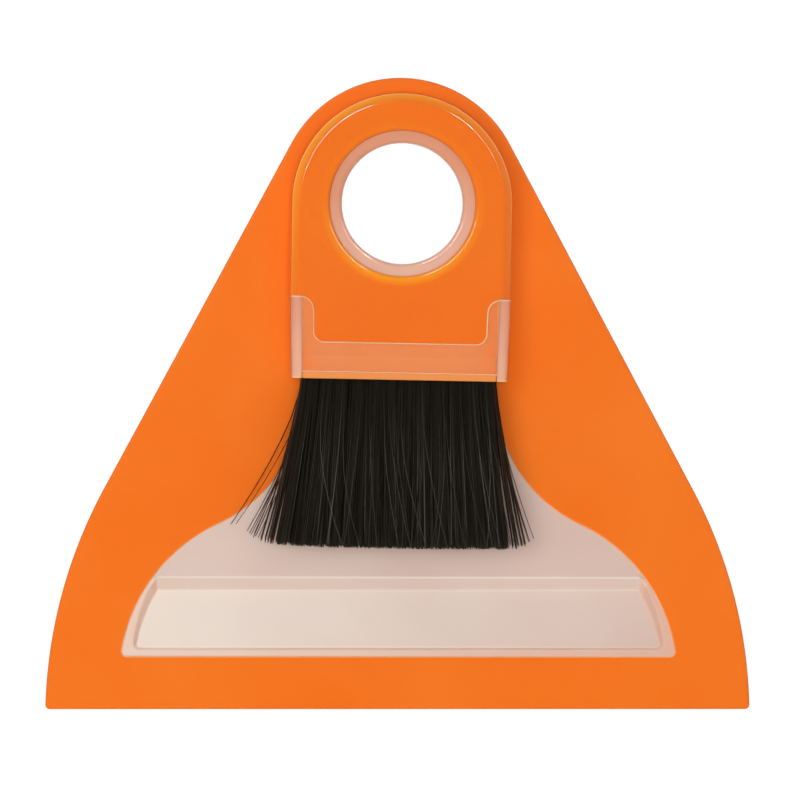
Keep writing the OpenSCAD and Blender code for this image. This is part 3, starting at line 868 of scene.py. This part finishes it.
def make_ferrule():
    """The frosted sleeve: columns stand round its wall, and each is a closed section that
    runs up the outer face, over the rounded upper rim, down the inner face and back over
    the lower rim. The upper rim follows the ears and the cut-out."""
    half_w, inner_w = FERRULE_T / 2, FERRULE_T / 2 - FACE_T
    inner_x = HANDLE_HALF - SIDE_T
    edge_r = 0.9

    # Side wall, from its middle over the rounded edge to the ear's flat top. A column is
    # its outer point (x, w), its inner point (x, w), and the direction of its rim
    turn = np.radians(np.linspace(0, 90, 7))
    outer = np.vstack([
        [(HANDLE_HALF, w) for w in (0.0, 1.4, 2.8)],
        np.column_stack([HANDLE_HALF - edge_r * (1 - np.cos(turn)),
                         half_w - edge_r * (1 - np.sin(turn))]),
        [(x, half_w) for x in (HANDLE_HALF - 1.8, inner_x + 0.15)]])
    share = np.linspace(0, 1, len(outer))
    inner = np.column_stack([inner_x - 0.05 * share ** 4,
                             inner_w * np.minimum(1, outer[:, 1] / half_w + 0.02 * share)])
    side = dict(top=np.column_stack([outer[:, 0], np.full(len(outer), -EAR_TOP)]),
                rim=np.tile([0.0, 1.0], (len(outer), 1)), outer=outer, inner=inner,
                foot_x=outer[:, 0], foot_v=np.full(len(outer), 0.05 - BLOCK_END))

    # Face, along the ear, down beside the tongue and under it to the middle. Each column
    # leans outwards to its foot, so that no two cross
    edge = ear_line(0)
    edge = edge[edge[:, 0] < inner_x - 0.1]
    edge = np.vstack([edge, [[CUT_HALF / 3, -CUT_OUT, 0, 1], [0, -CUT_OUT, 0, 1]]])
    run = np.concatenate([[0], np.cumsum(np.linalg.norm(np.diff(edge[:, :2], axis=0), axis=1))])
    # Points 0 to 8 go round the ear's corner, and 9 to 17 round the cut-out's
    bends = run[[0, 8, 9, 17, 19]]
    foot_x = np.interp(run, bends, [inner_x - 0.1, 26.4, 25.0, CUT_HALF - 2.2, 0])
    x = np.minimum(edge[:, 0], inner_x - 0.06)
    face = dict(top=edge[:, :2], rim=edge[:, 2:],
                outer=np.column_stack([edge[:, 0], np.full(len(edge), half_w)]),
                inner=np.column_stack([x, np.full(len(edge), inner_w)]),
                foot_x=foot_x, foot_v=np.full(len(edge), -FACE_END))
    quarter = {key: np.concatenate([side[key], face[key]]) for key in side}

    # The section as (distance below the rim or above the foot, distance in from a face)
    def fillet(radius):
        t = np.radians(np.linspace(0, 90, 6))
        curve = np.column_stack([radius * (1 - np.sin(t)), radius * (1 - np.cos(t))])
        return np.vstack([[radius + 0.04, 0], curve, [0, radius + 0.04]])

    depth_way = quarter["inner"] - quarter["outer"]
    depth = np.linalg.norm(depth_way, axis=1)
    depth_way = depth_way / depth[:, None]
    rows, veil_and_painted_highlight = [], []
    # The side wall is milky and clearest at its outer edge, with a painted highlight down the
    # middle of its breadth
    wall = np.zeros(len(depth))
    wall[:len(outer)] = [0.71] * 7 + [0.72, 0.74, 0.77, 0.82, 0.8]
    wall[len(outer):] = 0.08 * np.clip((CUT_HALF + 1 - foot_x) / 3, 0, 1)
    wall[len(outer)] = 0.32
    for at_top, from_inner, radius in ((1, 0, 0.45), (1, 1, 0.2), (0, 1, 0.2), (0, 0, 0.4)):
        curve = fillet(radius)
        for below, deep in curve[::-1] if from_inner == at_top else curve:
            d = depth - deep if from_inner else np.full(len(depth), deep)
            across = quarter["outer"] + depth_way * d[:, None]
            if at_top:
                place = quarter["top"] - quarter["rim"] * below
                x = place[:, 0] + across[:, 0] - quarter["outer"][:, 0]
                v = place[:, 1]
            else:
                shift = quarter["foot_x"] - quarter["outer"][:, 0]
                x = across[:, 0] + shift
                v = quarter["foot_v"] + below
            rows.append(np.column_stack([x, v, across[:, 1]]))
            # Along the outer rims the sleeve is drawn as a painted highlight
            on_rim = below < radius and not from_inner
            milky = wall * (0.84 if at_top else 1.0)
            veil_and_painted_highlight.append(np.ones(len(wall)) if on_rim else milky)

    def all_round(grid, mirror, behind):
        """A quarter's rows, mirrored to the left and then to the back."""
        front = np.concatenate([grid, grid[:, -2::-1] * mirror], 1)
        return np.concatenate([front, front[:, -2:0:-1] * behind], 1)

    skin = Skin()
    skin.wrap(all_round(np.stack(rows), [-1, 1, 1], [1, 1, -1]))
    sleeve = skin.piece("ferrule_moulding", lambda p: from_brush(tapered(p) + [0, 0, MID_W]),
                        "brush", "frosted", FERRULE_FROST, ["ferrule"])
    painted(sleeve, "veil_and_painted_highlight", all_round(np.stack(veil_and_painted_highlight), 1, 1))


def make_bristle_block():
    """The block in the ferrule: a rounded rectangle (x, w) carried along the brush, with a
    flange under the ferrule's faces. It ends in a shallow pocket for the tufts."""
    flange_w, pocket_w = FERRULE_T / 2 - 0.2, 4.15
    flange = box_outline(CORE_HALF, -flange_w, flange_w, 0.6)
    body = box_outline(CORE_HALF, -CORE_W, CORE_W, 0.5)
    pocket = box_outline(CORE_HALF - 0.7, -pocket_w, pocket_w, 0.5)
    step = FACE_END + 0.03
    end = rounded([(-0.7, BLOCK_END), (0, BLOCK_END, 0.45), (0, step, 0.1), (-0.5, step)],
                  5, 0.04)[1:-1]
    skin = Skin()
    outside = skin.tube(np.concatenate([carried(flange, end),
                                        carried(body, [(0, step), (0, CORE_END)])]))
    inside = skin.tube(carried(pocket, [(0, BLOCK_END - 1.1), (0, BLOCK_END - 0.15),
                                        (0.15, BLOCK_END)]))
    skin.cap(outside[0], [inside[-1]])
    skin.cap(inside[0])
    skin.cap(outside[-1], up=False)

    def place(p):
        return from_brush(tapered(np.column_stack([p[:, 0], -p[:, 2], MID_W + p[:, 1]])))

    block = skin.piece("bristle_block_moulding", place, "brush", "orange_handle", BLOCK_ORANGE,
                       ["bristle_block"])
    # Painted light: the outside of the block is drawn paler, in the rim colour
    painted(block, "painted_light", np.isin(np.arange(skin.count), outside[:-2]))


def strands(path, radius, tone):
    """One mesh of many strands, each a three-sided tube closed at both ends. path holds a
    row of points (x, v, w) for each strand, and radius and tone a value for each point."""
    count, steps = path.shape[:2]
    a = np.radians([90, 210, 330])
    round_it = np.column_stack([np.cos(a), np.zeros(3), np.sin(a)])
    points = path[:, :, None] + radius[:, :, None, None] * round_it
    number = np.arange(count * steps * 3).reshape(count, steps, 3)
    low, high = number[:, :-1], number[:, 1:]
    quads = np.stack([low, np.roll(low, -1, 2), np.roll(high, -1, 2), high], -1).reshape(-1, 4)
    ends = np.concatenate([number[:, 0, ::-1], number[:, -1]])
    return points.reshape(-1, 3), quads.tolist() + ends.tolist(), np.repeat(tone, 3)


def make_tufts(name, node, row, crossing=0):
    """One row of bristles. A strand starts in the block at (x, w), and after a share s of
    its length it has moved out by s to the power 1.2 times its own reach, which grows with
    its distance from the middle to the power 2.1. Across the plate it moves likewise: its
    tip lies 0.95 mm above the plate, and 1.42 mm more for each mm that its root is more
    than 1.4 mm above it. Its length is kept, so the ends of the fan lie a little higher.
    Three kinds bow out further from a point of their own on: a few anywhere, more at the
    sides, and on the front row some that cross over the others."""
    rng = np.random.default_rng(70 + row)
    count, steps, tufts = 1700, 8, 12
    level = (row - 1) * ROW_PITCH
    half = HANDLE_HALF - SIDE_T - 0.9

    # Roots: in twelve tufts, thickest in each one's middle, with a parting in the centre
    tuft = rng.integers(0, tufts, count)
    x0 = ((tuft + 0.5 + np.clip(rng.normal(0, 0.27, count), -0.5, 0.5)) / tufts * 2 - 1) * half
    x0 = x0 + np.sign(x0) * 0.25 * np.exp(-np.abs(x0) / 0.8)
    x0 = np.clip(x0, -half, half)
    w0 = level + rng.uniform(-1.2, 1.2, count)

    # 1 at the sides, and next to nothing elsewhere
    side = np.abs(x0 / half) ** 6
    lean = rng.normal(0, 0.5, (2, tufts))
    fan = FAN * np.sign(x0) * np.abs(x0 / half) ** 2.1
    reach = fan + lean[0, tuft] + rng.normal(0, 0.8, count)
    spread = 0.5 * lean[1, tuft] + rng.normal(0, 0.45, count)
    long = BRISTLE_L + np.clip(rng.normal(0, 0.45, count), -2.0, 0.8)
    tone = rng.beta(1.5, 3.0, count) ** 1.5

    bow = rng.normal(0, 0.3, count)
    bend_at = np.zeros(count)
    wild = rng.random(count) < 0.01 + 0.04 * side
    bow = np.where(wild, rng.normal(0, 1.5, count), bow)
    bend_at = np.where(wild, rng.uniform(0.1, 0.5, count), bend_at)

    # At each side the solid mass ends, then come locks with gaps between them, and then
    # single strays. All are given by how far out their tips lie, and a strand that starts
    # further out ends further out, so that the gaps run up between the locks. The rows'
    # locks are moved so that their gaps lie behind one another from a little to the left
    radius = BRISTLE_R * rng.uniform(0.85, 1.15, count)
    for edge, (solid, locks, strays) in TIPS.items():
        near = np.flatnonzero(x0 * edge > half - 3)
        near = near[np.argsort(x0[near] * edge + rng.normal(0, 0.25, near.size))]
        tip = np.sort(rng.uniform(solid - 3.5, solid, near.size))
        in_lock = np.arange(near.size) > 0.8 * near.size
        lock = np.sort(rng.choice(locks, in_lock.sum()))
        tip[in_lock] = lock + rng.normal(0, 0.04, lock.size) + edge * 0.22 * (2 - row)
        reach[near] = edge * tip - x0[near]
        bow[near] = np.where(in_lock, 0.0, 0.4 * bow[near])
        stray = rng.choice(near, len(strays[row]), replace=False)
        away = edge * np.array(strays[row]) - x0[stray]
        reach[stray], bow[stray] = 0.7 * away, 0.3 * away
        bend_at[stray] = 0.2
        tone[stray] = 0.0
        radius[stray] *= 1.3
    over = rng.choice(np.flatnonzero(np.abs(x0) < half - 2), crossing, replace=False)
    bow[over] = rng.normal(0, 5.0, crossing)
    bend_at[over] = rng.uniform(0.0, 0.5, crossing)
    tone[over] = rng.uniform(0.5, 0.9, crossing)
    w0[over] = level + 1.25
    spread[over] = rng.uniform(0.6, 1.3, crossing)
    sink = TIP_W + (w0 + MID_W - 1.4) * ROW_SPREAD - MID_W - w0 + spread

    s = np.linspace(0, 1, steps)
    late = np.clip((s - bend_at[:, None]) / (1 - bend_at[:, None]), 0, 1)
    x = x0[:, None] + reach[:, None] * s ** 1.2 + bow[:, None] * late ** 1.6
    w = w0[:, None] + sink[:, None] * s ** 1.2
    slope = np.hypot(x[:, -1] - x0, w[:, -1] - w0) / long
    drop = ROOT_DEPTH + long * np.sqrt(1 - np.minimum(slope, 0.7) ** 2)
    v = ROOT_DEPTH - BLOCK_END - drop[:, None] * s
    w = np.maximum(w, 0.35 - MID_W)
    radius[over] *= 0.55
    radius = radius[:, None] * (1 - 0.3 * s)
    # Little light gets in between the strands near their roots
    tone = tone[:, None] * np.interp(s, [0, 0.5], [0.35, 1])

    points, faces, shade = strands(np.stack([x, v, w], -1), radius, tone)
    bristles = finished(name, from_brush(points + [0, 0, MID_W]), faces, "brush",
                        FILAMENT, [node], sharp=80)
    painted(bristles, "tone", shade)


# -------------------- stage


def make_stage():
    """Pale floor, soft boxes and strips, a dim surround, and the camera above the plate."""
    reach, drop = 3.0, -0.0002
    corners = [(-1, -1), (1, -1), (1, 1), (-1, 1)]
    points = [(x * reach, y * reach, drop) for x, y in corners]
    floor = in_scene("floor", mesh_of("floor", points, [(0, 1, 2, 3)]))
    # White card: where it is seen or mirrored, nine tenths of it is an even glow
    material, tree = new_finish("white_card")
    path = add(tree, "ShaderNodeLightPath").outputs
    seen = path["Is Camera Ray"]
    for kind in ("Is Glossy Ray", "Is Transmission Ray"):
        seen = add(tree, "ShaderNodeMath", {0: seen, 1: path[kind]},
                   operation="MAXIMUM").outputs[0]
    share = add(tree, "ShaderNodeMath", {0: seen, 1: 0.9}, operation="MULTIPLY").outputs[0]
    card = add(tree, "ShaderNodeBsdfDiffuse", {"Color": linear("F4F4F2")}).outputs[0]
    glow = add(tree, "ShaderNodeEmission", {"Strength": 1.08}).outputs[0]
    mix = add(tree, "ShaderNodeMixShader", {0: share, 1: card, 2: glow}).outputs[0]
    add(tree, "ShaderNodeOutputMaterial", {"Surface": mix})
    floor.data.materials.append(material)

    world = bpy.data.worlds.new("studio")
    bpy.context.scene.world = world
    world.use_nodes = True
    tree = world.node_tree
    tree.nodes.clear()
    direction = add(tree, "ShaderNodeTexCoord").outputs["Generated"]
    height = add(tree, "ShaderNodeSeparateXYZ", {0: direction}).outputs["Z"]
    fade = ramp(tree, height, (0.35, 0.9), ((0.28, 0.28, 0.28, 1), (0.1, 0.1, 0.1, 1)))
    sky = add(tree, "ShaderNodeBackground", {"Color": fade})
    add(tree, "ShaderNodeOutputWorld", {"Surface": sky.outputs[0]})

    # Bearing and rise in degrees, width and height in metres, and power. The boxes only
    # light the set, and the strips only draw the fine lines along rounded edges
    centre = from_plate([0, 90, 5])
    boxes = {"over_box": (270, 82, 0.45, 0.45, 7.0), "left_box": (180, 60, 0.7, 0.7, 7.0),
             "front_box": (262, 44, 1.0, 1.0, 3.2), "right_box": (0, 50, 1.0, 1.0, 1.8),
             "back_box": (90, 58, 1.0, 1.0, 1.7), "low_left_box": (180, 14, 1.0, 0.5, 1.0),
             "low_front_box": (270, 14, 1.0, 0.5, 1.2), "low_right_box": (0, 14, 1.0, 0.5, 1.4),
             "low_back_box": (90, 14, 1.0, 0.5, 1.4),
             "left_strip": (114, 48, 0.36, 0.12, 10.0), "right_strip": (51, 48, 0.26, 0.12, 7.0),
             "left_thin_strip": (144, 48, 0.75, 0.05, 7.5),
             "right_thin_strip": (29, 48, 0.55, 0.05, 5.0),
             "low_left_strip": (133, 9, 1.7, 0.14, 1.5),
             "low_right_strip": (36, 9, 1.2, 0.14, 0.8)}
    for name, (bearing, rise, width, height, power) in boxes.items():
        a, e = math.radians(bearing), math.radians(rise)
        out = np.array([math.cos(a) * math.cos(e), math.sin(a) * math.cos(e), math.sin(e)])
        light = bpy.data.lights.new(name, "AREA")
        light.shape = "RECTANGLE"
        light.size, light.size_y = width, height
        light.energy = power
        box = in_scene(name, light)
        box.location = centre + out * 1.5
        box.rotation_euler = (Vector(centre) - box.location).to_track_quat("-Z", "Y").to_euler()
        box.visible_glossy = name.endswith("strip")
        box.visible_diffuse = not box.visible_glossy

    # The camera stands a little to the left of the plate's normal: 226.6 mm across
    data = bpy.data.cameras.new("camera")
    distance, across = 1.3, 0.22656
    data.sensor_width = 36
    data.lens = data.sensor_width * distance / across
    camera = in_scene("camera", data)
    x_axis = np.array([1.0, 0, 0])
    look = UP - math.tan(math.radians(3.2)) * x_axis
    look /= np.linalg.norm(look)
    side = x_axis - look * (x_axis @ look)
    side /= np.linalg.norm(side)
    roll = math.radians(0.206)
    right = side * math.cos(roll) + np.cross(look, side) * math.sin(roll)
    camera.location = from_plate([-0.03, 87.6, 0]) + look * distance
    turn = np.column_stack([right, np.cross(look, right), look])
    camera.rotation_euler = Matrix(turn).to_euler()
    bpy.context.scene.camera = camera
    bpy.context.scene.view_settings.view_transform = "Standard"


# -------------------- all together

make_stage()
make_pan_shell()
make_tray_stakes()
make_dust_tray()
make_ring_collar()
make_finger_ring()
make_handle_half("handle_front_moulding", "handle_front", 1)
make_handle_half("handle_back_moulding", "handle_back", -1)
make_ferrule()
make_bristle_block()
make_tufts("bristles_back", "tufts_back", 0)
make_tufts("bristles_middle", "tufts_middle", 1)
make_tufts("bristles_front", "tufts_front", 2, crossing=30)

staples = frame["nodes"]["tuft_anchors"].data.materials
staples.clear()
staples.append(STRIP)

bpy.context.view_layer.update()
